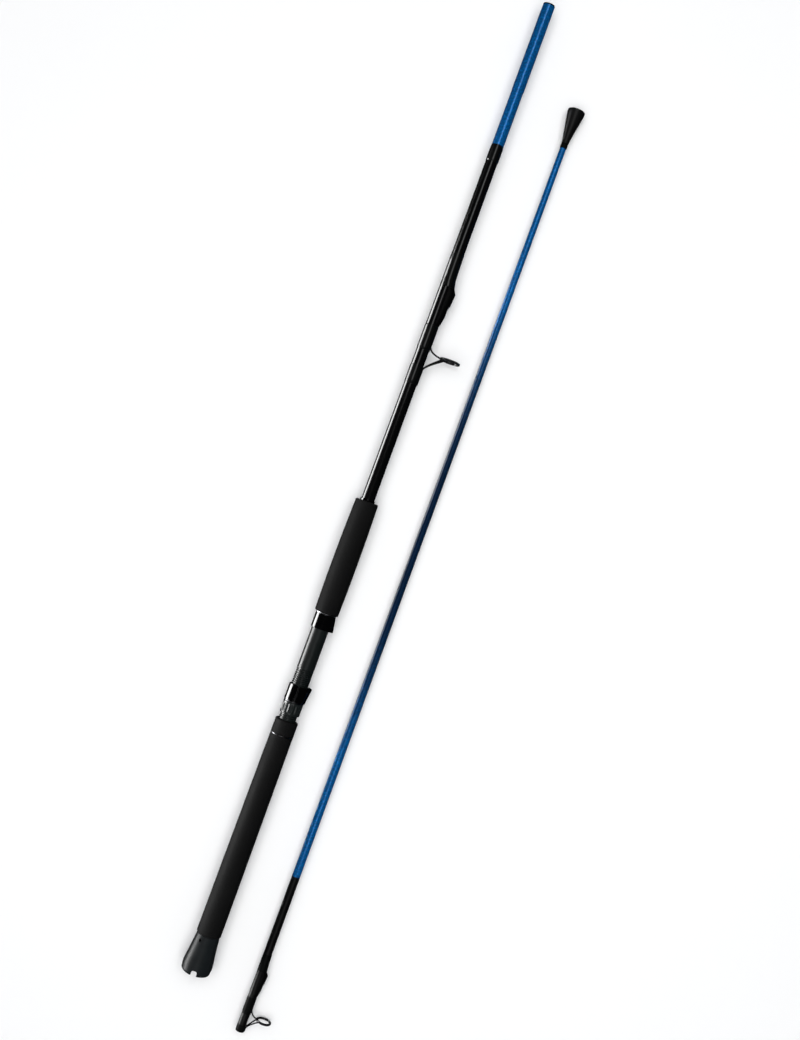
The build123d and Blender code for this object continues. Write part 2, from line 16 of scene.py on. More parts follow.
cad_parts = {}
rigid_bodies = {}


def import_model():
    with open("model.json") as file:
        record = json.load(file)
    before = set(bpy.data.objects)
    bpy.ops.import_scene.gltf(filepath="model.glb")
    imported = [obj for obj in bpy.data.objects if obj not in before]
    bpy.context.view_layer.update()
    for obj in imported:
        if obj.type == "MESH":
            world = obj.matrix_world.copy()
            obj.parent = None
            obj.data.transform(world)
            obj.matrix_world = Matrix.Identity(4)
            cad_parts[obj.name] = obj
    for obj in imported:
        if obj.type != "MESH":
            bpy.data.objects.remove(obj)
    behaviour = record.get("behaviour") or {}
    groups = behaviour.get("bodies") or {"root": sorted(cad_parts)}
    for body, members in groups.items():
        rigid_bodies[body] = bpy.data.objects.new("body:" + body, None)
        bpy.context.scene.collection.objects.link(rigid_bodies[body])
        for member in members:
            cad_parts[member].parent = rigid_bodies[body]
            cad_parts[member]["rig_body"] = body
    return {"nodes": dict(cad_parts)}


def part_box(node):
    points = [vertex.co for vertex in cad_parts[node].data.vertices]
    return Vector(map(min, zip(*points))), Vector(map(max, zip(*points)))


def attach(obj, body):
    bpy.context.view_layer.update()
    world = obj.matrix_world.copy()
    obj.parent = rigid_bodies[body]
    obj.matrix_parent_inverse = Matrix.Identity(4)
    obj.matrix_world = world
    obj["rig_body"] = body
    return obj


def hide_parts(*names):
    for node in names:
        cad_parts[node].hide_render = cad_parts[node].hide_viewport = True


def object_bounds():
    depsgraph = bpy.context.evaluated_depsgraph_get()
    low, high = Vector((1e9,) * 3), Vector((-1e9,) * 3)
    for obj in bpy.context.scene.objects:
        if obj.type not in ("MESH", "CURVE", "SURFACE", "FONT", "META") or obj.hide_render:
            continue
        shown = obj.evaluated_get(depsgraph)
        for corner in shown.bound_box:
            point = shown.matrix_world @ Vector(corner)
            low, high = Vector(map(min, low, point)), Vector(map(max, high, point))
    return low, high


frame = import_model()
cad_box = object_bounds()
MM = 0.001
BOX = {name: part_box(name) for name in frame["nodes"]}


# %% [markdown]
# ## Writing shader sums as sums
#
# A procedural finish is mostly arithmetic on a few patterns. Placing each Math node by hand hides
# that arithmetic, so one small class wraps a socket and lets Python's own operators add the nodes.
# Both `mask * 2` and `1 - mask` work. Colours are mixed with a Mix node, because a Math node would
# turn them grey, and every other kind of node comes from the single method `node`.

# %% The socket wrapper
class Wire:
    """A socket in a node tree. Python's operators on wires add Math nodes."""

    def __init__(self, tree, socket=None):
        self.tree = tree
        self.socket = socket

    def node(self, kind, settings=None, out=0, inputs=None):
        """Add a node: its settings first, then values or wires for its sockets."""
        made = self.tree.nodes.new("ShaderNode" + kind)
        for key, value in (settings or {}).items():
            setattr(made, key, value)
        for key, value in (inputs or {}).items():
            self.plug(made.inputs[key], value)
        return Wire(self.tree, made.outputs[out])

    def plug(self, target, value):
        if isinstance(value, Wire):
            self.tree.links.new(value.socket, target)
        else:
            target.default_value = value

    def math(self, operation, *values):
        return self.node("Math", {"operation": operation}, inputs=dict(enumerate(values)))

    def __add__(self, other):
        return self.math("ADD", self, other)

    def __radd__(self, other):
        return self.math("ADD", other, self)

    def __sub__(self, other):
        return self.math("SUBTRACT", self, other)

    def __rsub__(self, other):
        return self.math("SUBTRACT", other, self)

    def __mul__(self, other):
        return self.math("MULTIPLY", self, other)

    def __rmul__(self, other):
        return self.math("MULTIPLY", other, self)

    def __truediv__(self, other):
        return self.math("DIVIDE", self, other)

    def sine(self):
        return self.math("SINE", self)

    def clamp(self):
        return self.math("MINIMUM", self.math("MAXIMUM", self, 0.0), 1.0)

    def mix(self, low, high):
        """Mix two colours, with this wire as the factor."""
        return self.node("Mix", {"data_type": "RGBA"}, 2, {0: self, 6: low, 7: high})


# %% [markdown]
# ## A material to start from
#
# Every finish here is one Principled shader. Numbers that are the same all over are set straight
# on its sockets. Only what changes from place to place is wired: colour, metal, roughness, coat and
# the normal. `Finish` keeps the shader and the patterns that the recipes share: the position on the
# part in metres, a noise, a field of cells and a bump.

# %% The material helper
def rgb(red, green, blue):
    return (red, green, blue, 1.0)


class Finish:
    """A material with one Principled shader and the patterns used to vary it."""

    def __init__(self, name, **constants):
        self.material = bpy.data.materials.new(name)
        self.material.use_nodes = True
        tree = self.material.node_tree
        self.shader = tree.nodes["Principled BSDF"]
        self.root = Wire(tree)
        self.place = self.root.node("TexCoord", out="Object")
        for key, value in constants.items():
            self.shader.inputs[key.replace("_", " ")].default_value = value

    def feed(self, socket, wire):
        self.root.plug(self.shader.inputs[socket], wire)

    def noise(self, grain, detail=2.0, stretch=(1.0, 1.0, 1.0)):
        """Noise whose features are about `grain` metres across, from 0 to 1."""
        place = self.root.node("VectorMath", {"operation": "MULTIPLY"},
                               inputs={0: self.place, 1: stretch})
        return self.root.node("TexNoise",
                              inputs={"Vector": place, "Scale": 1 / grain, "Detail": detail})

    def cells(self, grain):
        """Distance from the nearest cell centre, for foams and speckles."""
        return self.root.node("TexVoronoi", inputs={"Vector": self.place, "Scale": 1 / grain})

    def axis(self, letter):
        return self.root.node("SeparateXYZ", out=letter, inputs={"Vector": self.place})

    def bump(self, height, depth, strength=1.0):
        self.feed("Normal", self.root.node("Bump", inputs={
            "Height": height, "Distance": depth, "Strength": strength}))


# %% [markdown]
# ## Foam grips
#
# The grips are closed-cell foam, turned and sanded on a lathe. Close up the skin is a field of tiny
# torn cells, and it scatters light so evenly that it looks matt charcoal. Two Voronoi patterns at
# different sizes give the cells, and a slow noise gives the patches that hands and sanding leave.

# %% Foam finish
FOAM_CELL, FOAM_PORE, FOAM_LUMP, HANDLED_PATCH = 0.0009, 0.0028, 0.004, 0.035
FOAM_RELIEF = 0.00022
FOAM_DARK = rgb(0.0017, 0.0017, 0.0018)
FOAM_LIGHT = rgb(0.0066, 0.0066, 0.0068)


def foam_finish():
    foam = Finish("closed_cell_foam", Specular_IOR_Level=0.13)
    cells = foam.cells(FOAM_CELL)
    pores = foam.cells(FOAM_PORE)
    handled = foam.noise(HANDLED_PATCH, 3.0)
    fleck = (cells * 0.6 + pores * 0.4).clamp()
    shade = (fleck * 0.55 + handled * 0.45).clamp()
    foam.feed("Base Color", shade.mix(FOAM_DARK, FOAM_LIGHT))
    foam.feed("Roughness", 0.60 + 0.2 * handled)
    foam.bump(cells * 0.7 + pores * 0.5 + foam.noise(FOAM_LUMP) * 0.6, FOAM_RELIEF, 0.8)
    return foam.material


FOAM = foam_finish()
print("made", FOAM.name)


# %% [markdown]
# ## The blanks
#
# A blank is rolled from carbon cloth, sanded, painted and clear-coated. The lower part is black.
# Past the colour break the paint is blue metal flake over a navy base, and the flake lies in small
# clouds. The colour break sits at a fixed place along each section, so the position along the rod
# less that place, clamped, is the mask. A narrow black line is painted at the cut end as painted
# shade. On the tip the blue is painted darker towards a place near its middle and lighter towards
# both ends, as painted shade and painted highlight. The coat has a faint orange peel, and the
# wrapping tape has left shallow rings under it.

# %% Blank paint
COLOUR_BREAK = BOX["colour_break_band"][1].x
TIP_LOW = BOX["tip_blank"][0].x
TIP_COLOUR_BREAK = TIP_LOW + 0.2142
# Place where the tip's blue is painted darkest, as painted shade, and how far that shade reaches.
TIP_SHADE_MIDDLE = TIP_LOW + 0.695
SHADE_REACH = 0.32
FADE_LENGTH = 0.0012
# Length of the black line painted as shade at the cut end.
END_SHADE_LENGTH = 0.0028
GLOSS_FADE = 0.05
FLAKE, FLAKE_CLOUD, PAINT_PATCH = 0.0005, 0.0026, 0.05
PEEL, TAPE_PITCH, PEEL_RELIEF = 0.006, 0.0045, 0.00001
BLACK_PAINT = rgb(0.0018, 0.0018, 0.0020)
BLUE_PAINT = rgb(0.003, 0.24, 0.75)
NAVY_PAINT = rgb(0.0005, 0.0065, 0.023)


def blank_finish(name, colour_break, cut_end, shade_middle=None, gloss_from=None):
    """cut_end is the section's front end, where a narrow black line is painted as shade. The
    argument after it is where the blue is painted darkest, as painted shade that lightens towards
    both ends.
    gloss_from is where its clear coat starts; without it the whole section is coated."""
    blank = Finish(name, Coat_Roughness=0.1, Specular_IOR_Level=0.28)
    along = blank.axis("X")
    # Painted shade: a narrow black line along the section's cut end.
    end_shade = ((along - cut_end + END_SHADE_LENGTH) / FADE_LENGTH).clamp()
    blue = ((along - colour_break) / FADE_LENGTH).clamp() * (1 - end_shade)
    clouds = ((blank.noise(FLAKE_CLOUD) - 0.45) * 5.0).clamp()
    flake = clouds * (0.6 + blank.cells(FLAKE) * 0.6)
    depth = blank.noise(PAINT_PATCH, 2.0, (0.25, 1.0, 1.0))
    cover = 0.22 + depth * 0.36
    # Painted shade and painted highlight: the tip's blue is darkened towards one place near its
    # middle and left brighter towards both ends.
    if shade_middle is not None:
        away = (along - shade_middle) / SHADE_REACH
        painted_light_share = (0.05 + away * away * away * away).clamp()
        cover = cover * painted_light_share
        flake = flake * painted_light_share
    paint = (cover + flake * 0.5).clamp().mix(NAVY_PAINT, BLUE_PAINT)
    blank.feed("Base Color", blue.mix(BLACK_PAINT, paint))
    blank.feed("Metallic", blue * (0.3 + cover * 0.5 + flake * 0.2).clamp())
    roughness = 0.21 + blue * 0.08 + depth * 0.05
    if gloss_from is not None:
        gloss = ((along - gloss_from) / GLOSS_FADE).clamp()
        blank.feed("Coat Weight", gloss * 0.45)
        blank.feed("Roughness", roughness + (1 - gloss) * 0.22)
    else:
        blank.feed("Coat Weight", 0.5 + depth * 0.2)
        blank.feed("Roughness", roughness)
    tape = (along * (2 * math.pi / TAPE_PITCH)).sine()
    blank.bump(tape * 0.35 + blank.noise(PEEL) * 0.65, PEEL_RELIEF, 0.5)
    return blank.material


BUTT_PAINT = blank_finish("butt_blank_paint", COLOUR_BREAK, BOX["butt_blank"][1].x)
TIP_PAINT = blank_finish("tip_blank_paint", TIP_COLOUR_BREAK, BOX["tip_blank"][1].x,
                         TIP_SHADE_MIDDLE, TIP_COLOUR_BREAK)
print("colour breaks at", round(COLOUR_BREAK, 4), round(TIP_COLOUR_BREAK, 4))


# %% [markdown]
# ## Windings under resin
#
# Guides are bound on with fine thread and then flooded with clear resin. The thread shows as a
# close ribbing along the rod, under resin that stays glassy on the butt section. The tip section's
# resin is thin and has dulled, so its windings have no coat. The ribbing goes into the colour, the
# roughness and the bump.

# %% Winding finish
THREAD, RESIN_WAVE, RESIN_RELIEF = 0.0004, 0.008, 0.00004
THREAD_DARK = rgb(0.0008, 0.0010, 0.0010)
THREAD_LIGHT = rgb(0.0030, 0.0036, 0.0036)


def winding_finish(name, coat, roughness, shine):
    winding = Finish(name, Coat_Weight=coat, Coat_Roughness=0.02, Coat_IOR=1.36,
                     Specular_IOR_Level=shine)
    ribs = (winding.axis("X") * (2 * math.pi / THREAD)).sine() * 0.5 + 0.5
    slow = winding.noise(RESIN_WAVE)
    winding.feed("Base Color", (ribs * 0.6 + slow * 0.4).clamp().mix(THREAD_DARK, THREAD_LIGHT))
    winding.feed("Roughness", roughness + 0.12 * ribs)
    winding.bump(ribs * 0.25 + slow, RESIN_RELIEF, 0.35)
    return winding.material


WINDING = winding_finish("winding_under_resin", coat=1.0, roughness=0.28, shine=0.25)
THIN_WINDING = winding_finish("winding_under_thin_resin", coat=0.0, roughness=0.48, shine=0.07)
print("made", WINDING.name, THIN_WINDING.name)


# %% [markdown]
# ## Moulded, plated and turned parts
#
# The seat's hoods are gloss black mouldings with the slight waviness of an injected surface, and
# the intake hoods are a satin version of them. The seat is graphite-filled plastic: satin, a touch
# green, and speckled. The end cap is a harder rubber with a dusty bloom. Trim rings are turned
# metal, so their scratches run around the part. Guide wires are plated black, and worn to bare
# metal in small patches. The line rings are polished ceramic.

# %% Hood gloss
MOULD_WAVE, SCUFF, MOULD_RELIEF = 0.007, 0.0006, 0.00005
HOOD_DARK = rgb(0.0010, 0.0010, 0.0011)
HOOD_SCUFFED = rgb(0.004, 0.004, 0.0044)


def hood_finish(name, coat, roughness, shine):
    hood = Finish(name, Coat_Weight=coat, Coat_Roughness=0.03, Specular_IOR_Level=shine)
    wave = hood.noise(MOULD_WAVE, 2.0)
    scuff = (hood.noise(SCUFF, 3.0, (0.15, 1.0, 1.0)) - 0.62).clamp() * 2.0
    hood.feed("Base Color", scuff.clamp().mix(HOOD_DARK, HOOD_SCUFFED))
    hood.feed("Roughness", roughness + scuff * 0.3 + wave * 0.05)
    hood.bump(wave, MOULD_RELIEF, 0.5)
    return hood.material


# %% Graphite-filled plastic of the seat and its nut
SPECKLE, PLASTIC_FLOW, PLASTIC_RELIEF = 0.0007, 0.012, 0.00004


def seat_finish(name, dark, light, roughness):
    seat = Finish(name, Specular_IOR_Level=0.5)
    speckle = seat.cells(SPECKLE)
    flow = seat.noise(PLASTIC_FLOW, 3.0, (0.3, 1.0, 1.0))
    seat.feed("Base Color", (speckle * 0.5 + flow * 0.5).clamp().mix(dark, light))
    seat.feed("Roughness", roughness + 0.1 * flow)
    seat.bump(speckle * 0.6 + flow * 0.4, PLASTIC_RELIEF, 0.5)
    return seat.material


# %% Rubber end cap
BLOOM_PATCH, RUBBER_GRAIN, RUBBER_RELIEF = 0.016, 0.0008, 0.00009
RUBBER_DARK = rgb(0.0042, 0.0058, 0.0064)
RUBBER_DUSTY = rgb(0.0105, 0.013, 0.0148)


def cap_finish():
    cap = Finish("end_cap_rubber", Specular_IOR_Level=0.17)
    bloom = cap.noise(BLOOM_PATCH, 4.0)
    grain = cap.noise(RUBBER_GRAIN, 2.0)
    cap.feed("Base Color", bloom.mix(RUBBER_DARK, RUBBER_DUSTY))
    cap.feed("Roughness", 0.38 + 0.12 * bloom)
    cap.bump(grain * 0.7 + bloom, RUBBER_RELIEF, 0.6)
    return cap.material


# %% Turned metal, plated wire, ceramic and small hardware
SCRATCH, SCRATCH_RELIEF, SCRATCH_SHADE = 0.0015, 0.00003, 0.72
WORN_PATCH, PLATING_GRAIN, PLATING_LUMP, PLATING_RELIEF = 0.004, 0.001, 0.0012, 0.00005
CERAMIC_GRAIN, CERAMIC_RELIEF = 0.0025, 0.00001
SOFT_GRAIN, SOFT_RELIEF = 0.0012, 0.0001


def turned_metal(name, colour, pitch):
    """pitch is the distance between the lines that the turning tool left."""
    metal = Finish(name, Metallic=1.0)
    lines = (metal.axis("X") * (2 * math.pi / pitch)).sine() * 0.5 + 0.5
    fine = metal.noise(SCRATCH, 3.0, (4.0, 0.3, 0.3))
    shaded = rgb(*(SCRATCH_SHADE * c for c in colour))
    metal.feed("Base Color", (lines * 0.4 + fine * 0.6).clamp().mix(shaded, rgb(*colour)))
    metal.feed("Roughness", 0.24 + 0.2 * fine)
    metal.bump(lines * 0.5 + fine, SCRATCH_RELIEF, 0.5)
    return metal.material


def plated_wire():
    wire = Finish("plated_wire", Coat_Weight=0.3, Coat_Roughness=0.08)
    worn = ((wire.noise(WORN_PATCH, 4.0) - 0.66) * 9.0).clamp()
    wire.feed("Base Color", worn.mix(rgb(0.012, 0.012, 0.013), rgb(0.20, 0.20, 0.21)))
    wire.feed("Metallic", 0.6 + worn * 0.4)
    wire.feed("Roughness", 0.24 + wire.noise(PLATING_GRAIN) * 0.12)
    wire.bump(wire.noise(PLATING_LUMP, 3.0), PLATING_RELIEF, 0.5)
    return wire.material


def ceramic_finish():
    ceramic = Finish("polished_ceramic", Coat_Weight=0.6, Coat_Roughness=0.02,
                     Specular_IOR_Level=0.7)
    body = ceramic.noise(CERAMIC_GRAIN, 3.0)
    ceramic.feed("Base Color", body.mix(rgb(0.006, 0.0062, 0.0066), rgb(0.018, 0.0185, 0.0195)))
    ceramic.feed("Roughness", 0.09 + 0.06 * body)
    ceramic.bump(body, CERAMIC_RELIEF, 0.3)
    return ceramic.material


def soft_part(name, dark, light, roughness=0.65):
    soft = Finish(name, Specular_IOR_Level=0.35)
    grain = soft.noise(SOFT_GRAIN, 3.0)
    soft.feed("Base Color", grain.mix(dark, light))
    soft.feed("Roughness", roughness + 0.15 * grain)
    soft.bump(grain, SOFT_RELIEF, 0.6)
    return soft.material


HOOD = hood_finish("gloss_hood", coat=0.9, roughness=0.12, shine=0.3)
SATIN_HOOD = hood_finish("satin_hood", coat=0.0, roughness=0.46, shine=0.10)
SEAT = seat_finish("graphite_seat", dark=rgb(0.003, 0.0044, 0.0043),
                   light=rgb(0.008, 0.0108, 0.0106), roughness=0.27)
NUT = seat_finish("graphite_nut", dark=rgb(0.0045, 0.0065, 0.0062),
                  light=rgb(0.012, 0.0155, 0.015), roughness=0.26)
CAP = cap_finish()
TRIM = turned_metal("turned_trim", colour=(0.52, 0.53, 0.55), pitch=0.00035)
# The rear trim ring and the washer sit between parts; they get this darker copy of the trim colour
# as painted shade.
SHADED_TRIM = turned_metal("trim_with_painted_shade", colour=(0.16, 0.16, 0.17), pitch=0.00035)
SCREW = turned_metal("dark_screw", colour=(0.16, 0.16, 0.17), pitch=0.0005)
WIRE_PLATING = plated_wire()
CERAMIC = ceramic_finish()
FUNNEL = soft_part("satin_funnel", dark=rgb(0.0015, 0.0015, 0.0016),
                   light=rgb(0.0045, 0.0045, 0.0048), roughness=0.30)
PAD = soft_part("hood_pad_rubber", dark=rgb(0.02, 0.02, 0.02), light=rgb(0.045, 0.045, 0.045))
ARBOR = soft_part("arbor_foam", dark=rgb(0.25, 0.23, 0.20), light=rgb(0.42, 0.39, 0.34))
print("materials so far:", len(bpy.data.materials))


# %% [markdown]
# ## Painting the parts that stay as they are
#
# Many hard parts already have the right surface in the frame, so they only need a finish. The
# table below goes by name; what is replaced later by a built piece is left out of it.

# %% Paint the frame's own parts
PAINTED = {
    "gimbal_cap": CAP, "gimbal_screw": SCREW, "winding_check": HOOD,
    "seat_arbor_rear": ARBOR, "seat_arbor_middle": ARBOR, "seat_arbor_front": ARBOR,
    "fixed_hood": HOOD, "moving_hood": HOOD, "fixed_hood_pad": PAD, "moving_hood_pad": PAD,
    "butt_blank": BUTT_PAINT, "ferrule_sleeve": BUTT_PAINT, "tip_blank": TIP_PAINT,
    "butt_intake_hood": SATIN_HOOD, "tip_intake_hood": SATIN_HOOD,
    "butt_intake_liner": CERAMIC, "tip_intake_liner": CERAMIC,
    "butt_intake_winding": WINDING, "tip_intake_winding": THIN_WINDING,
    "butt_guide_frame": WIRE_PLATING, "tip_guide_frame": WIRE_PLATING,
    "tip_funnel": FUNNEL,
}


def paint(piece, material):
    piece.data.materials.clear()
    piece.data.materials.append(material)


for node_name, material in PAINTED.items():
    paint(frame["nodes"][node_name], material)
print("painted", len(PAINTED), "parts")


# %% [markdown]
# ## One lathe for everything round
#
# A rod is almost all turned shapes. `spin` takes a closed outline of (place, radius) pairs, turns
# it about a line along the rod and gives back a closed shell. An optional `shape` changes the
# radius with the angle, which is enough for flutes, a helical thread and a winding that bulges
# over a foot. The angle is 0 towards +Y and half a turn towards -Y, the side the guides stand on.

# %% The lathe
def adopt(piece, node_name, material, sharp=35.0):
    """Make a built piece stand for a frame node. Only edges past `sharp` degrees stay sharp."""
    body = frame["nodes"][node_name]["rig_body"]
    paint(piece, material)
    for polygon in piece.data.polygons:
        polygon.use_smooth = True
    piece.data.set_sharp_from_angle(angle=math.radians(sharp))
    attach(piece, body)
    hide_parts(node_name)
    return piece


def mesh_piece(name, points, faces):
    mesh = bpy.data.meshes.new(name)
    mesh.from_pydata(points, [], faces)
    shell = bmesh.new()
    shell.from_mesh(mesh)
    bmesh.ops.recalc_face_normals(shell, faces=shell.faces)
    shell.to_mesh(mesh)
    shell.free()
    piece = bpy.data.objects.new(name, mesh)
    bpy.context.scene.collection.objects.link(piece)
    return piece


def spin(name, outline, axis=(0.0, 0.0), around=96, shape=None):
    points, faces = [], []
    for x, radius in outline:
        for step in range(around):
            angle = 2 * math.pi * step / around
            reach = shape(x, radius, angle) if shape else radius
            points.append((x, axis[0] + reach * math.cos(angle),
                           axis[1] + reach * math.sin(angle)))
    rows = len(outline)
    for row in range(rows):
        after = (row + 1) % rows
        for step in range(around):
            beside = (step + 1) % around
            faces.append((row * around + step, row * around + beside,
                          after * around + beside, after * around + step))
    return mesh_piece(name, points, faces)


def middle(node_name):
    """The y and z of the line that a turned node is centred on."""
    low, high = BOX[node_name]
    return (low.y + high.y) / 2, (low.z + high.z) / 2


def outer_radius(node_name):
    low, high = BOX[node_name]
    return (high.z - low.z) / 2


def arc(x, radius, size, start, end, steps=5):
    """Points of a rounded corner: an arc of radius `size` about (x, radius), angles in degrees."""
    turns = (math.radians(start + (end - start) * i / steps) for i in range(steps + 1))
    return [(x + size * math.cos(t), radius + size * math.sin(t)) for t in turns]


# %% [markdown]
# ## The three grips
#
# Each grip is a foam tube. Its outside is slightly crowned and its ends are rounded where the
# sanding belt rolled over them. The radius at each end and in the middle is all that it needs, and
# a parabola through those three gives the crown.

# %% Turn the grips
BORE = 8.8 * MM
GRIP_STATIONS = 28


def grip(node_name, radii, rounds):
    """radii are at the rear end, the middle and the front end; rounds are the two end roundings."""
    start, end = BOX[node_name][0].x, BOX[node_name][1].x
    rear, crown, front = radii
    rear_round, front_round = rounds
    straight = end - start - rear_round - front_round
    outline = [(start, BORE)]
    outline += arc(start + rear_round, rear - rear_round, rear_round, 180, 90)
    for i in range(1, GRIP_STATIONS):
        t = i / GRIP_STATIONS
        bulge = 4 * (crown - (rear + front) / 2) * t * (1 - t)
        outline.append((start + rear_round + straight * t, rear + (front - rear) * t + bulge))
    outline += arc(end - front_round, front - front_round, front_round, 90, 0) + [(end, BORE)]
    piece = adopt(spin(node_name + "_foam", outline), node_name, FOAM)
    print(piece.name, "length", round(end - start, 4))


grip("rear_grip", radii=(16.4 * MM, 15.9 * MM, 15.2 * MM), rounds=(1.6 * MM, 0.9 * MM))
grip("collar_grip", radii=(15.3 * MM, 15.3 * MM, 15.3 * MM), rounds=(0.7 * MM, 2.5 * MM))
grip("foregrip", radii=(15.9 * MM, 16.5 * MM, 15.3 * MM), rounds=(1.9 * MM, 1.9 * MM))


# %% [markdown]
# ## Trim rings and washer
#
# Thin turned rings close the grips, and a washer lies between the nut and the moving hood. Their
# edges are broken with a small chamfer, which is what catches the light.

# %% Turn the rings
RING_EDGE = 0.25 * MM


SEAT_BORE = 11.88 * MM


def ring(node_name, bore, material):
    start, end = BOX[node_name][0].x, BOX[node_name][1].x
    radius = outer_radius(node_name)
    outline = [(start, bore), (start, radius - RING_EDGE), (start + RING_EDGE, radius),
               (end - RING_EDGE, radius), (end, radius - RING_EDGE), (end, bore)]
    adopt(spin(node_name + "_turned", outline), node_name, material)


# Painted shade: the rear ring between two grips and the washer between the nut and the hood use the
# darker copy of the trim.
ring("rear_trim_ring", BORE, SHADED_TRIM)
ring("front_trim_ring", BORE, TRIM)
ring("hood_washer", SEAT_BORE, SHADED_TRIM)
print("three rings turned")


# %% [markdown]
# ## The reel seat
#
# The seat's rear half carries a right-hand thread, cut once through by the flat bed on which the
# reel's foot lies. A helix is a radius that depends on place and angle together: the phase of the
# groove moves on by one pitch for each turn. The flat is made by holding back every point that
# would stand further to -Y than the bed.

# %% Cut the thread
PITCH = 2.5 * MM
THREAD_DEPTH = 0.9 * MM
THREAD_LENGTH = 71.0 * MM
STEPS_PER_PITCH = 10
FLANK, FLOOR_SHARE = 2.6, 0.6
BED = 11.0 * MM
BARREL_BORE = 10.0 * MM
TAIL_RADIUS = 11.0 * MM - 0.2 * MM
OUTER_SKIN = 1.0 * MM
PAST_COLLAR = 1e-6
seat_low, seat_high = BOX["seat_barrel"]
collar_face = BOX["collar_grip"][1].x
thread_end = collar_face + THREAD_LENGTH
barrel_radius = outer_radius("seat_barrel")


def threaded(x, radius, angle):
    if radius < barrel_radius - OUTER_SKIN:
        return radius
    reach_out = radius
    if collar_face < x < thread_end:
        fade = min(1.0, (x - collar_face) / PITCH, (thread_end - x) / PITCH)
        phase = ((x - collar_face) / PITCH - angle / (2 * math.pi)) % 1.0
        sunk = min(1.0, max(0.0, FLANK * (1 - abs(2 * phase - 1)) - FLOOR_SHARE))
        reach_out = radius - THREAD_DEPTH * sunk * fade
    towards_bed = -math.cos(angle)
    if x > collar_face and towards_bed * reach_out > BED:
        reach_out = BED / towards_bed
    return reach_out


thread_steps = round((thread_end - collar_face) / (PITCH / STEPS_PER_PITCH))
seat_outline = [(seat_low.x, BARREL_BORE), (seat_low.x, TAIL_RADIUS), (collar_face, TAIL_RADIUS)]
for i in range(thread_steps + 1):
    place = collar_face + (thread_end - collar_face) * i / thread_steps + PAST_COLLAR
    seat_outline.append((place, barrel_radius))
for t in (0.25, 0.5, 0.75, 1.0):
    seat_outline.append((thread_end + (seat_high.x - thread_end) * t, barrel_radius))
seat_outline.append((seat_high.x, BARREL_BORE))
barrel = spin("seat_barrel_cut", seat_outline, shape=threaded)
adopt(barrel, "seat_barrel", SEAT)
print("thread turns:", round((thread_end - collar_face) / PITCH, 1))


# %% [markdown]
# ## The lock nut
#
# Fingers turn this nut, so its middle is fluted. Each flute is a shallow scallop between two
# rounded lands, and it fades out before the end faces, leaving a plain lip on both.

# %% Flute the nut
FLUTES = 16
STEPS_PER_FLUTE = 14
FLUTE_DEPTH = 0.9 * MM
FLUTE_RUNOUT = 1.2 * MM
FLUTE_SOFTNESS = 1.6
LIP = 2.0 * MM
NUT_STATIONS = 14
NUT_SKIN = 1.6 * MM
REAR_ROUND, FRONT_ROUND = 1.2 * MM, 0.4 * MM
nut_low, nut_high = BOX["lock_nut"]
nut_radius = outer_radius("lock_nut")


def fluted(x, radius, angle):
    if radius < nut_radius - NUT_SKIN:
        return radius
    from_lip = min(x - nut_low.x, nut_high.x - x) - LIP
    depth = max(0.0, min(1.0, from_lip / FLUTE_RUNOUT))
    scallop = abs(math.cos(FLUTES * angle / 2)) ** FLUTE_SOFTNESS
    return radius - FLUTE_DEPTH * depth * scallop


fluted_length = nut_high.x - nut_low.x - 2 * LIP
nut_outline = [(nut_low.x, SEAT_BORE)]
nut_outline += arc(nut_low.x + REAR_ROUND, nut_radius - REAR_ROUND, REAR_ROUND, 180, 90)
for i in range(NUT_STATIONS + 1):
    nut_outline.append((nut_low.x + LIP + fluted_length * i / NUT_STATIONS, nut_radius))
nut_outline += arc(nut_high.x - FRONT_ROUND, nut_radius - FRONT_ROUND, FRONT_ROUND, 90, 0, 3)
nut_outline.append((nut_high.x, SEAT_BORE))
nut = spin("lock_nut_fluted", nut_outline, around=FLUTES * STEPS_PER_FLUTE, shape=fluted)
adopt(nut, "lock_nut", NUT)
print("nut flutes:", FLUTES)


# %% [markdown]
# ## Windings
#
# A winding is thread bound over a foot, then coated while the rod turns slowly. Resin draws up
# into a long soft shoulder at both ends and bulges over the foot on the guides' side. The profile
# is the blank's own taper plus a thickness that rises smoothly from nothing at each end.

# %% Build the windings
WINDING_STATIONS = 30
WINDING_AROUND = 72
END_BUNCHING = 0.6
SHOULDER = 2.6 * MM
EDGE_SHARE = 0.12
FOOT_SIDE = 0.25
SUNK = 0.02 * MM
GUIDE_BINDING, OVER_FOOT = 0.35 * MM, 0.65 * MM
BAND_BINDING, FUNNEL_BINDING = 0.45 * MM, 0.6 * MM
BUTT_FRONT_RADIUS = 7.6 * MM
TIP_REAR_RADIUS, TIP_FRONT_RADIUS = 5.7 * MM, 4.1 * MM


def smooth(t):
    t = max(0.0, min(1.0, t))
    return t * t * (3 - 2 * t)


def blank_radius(section, x):
    """Outside radius of the butt or the tip blank at a place along it."""
    low, high = BOX[section + "_blank"]
    if section == "butt":
        bare = BOX["winding_check"][1].x
        return BORE + max(0.0, x - bare) / (high.x - bare) * (BUTT_FRONT_RADIUS - BORE)
    taper = TIP_FRONT_RADIUS - TIP_REAR_RADIUS
    return TIP_REAR_RADIUS + (x - low.x) / (high.x - low.x) * taper


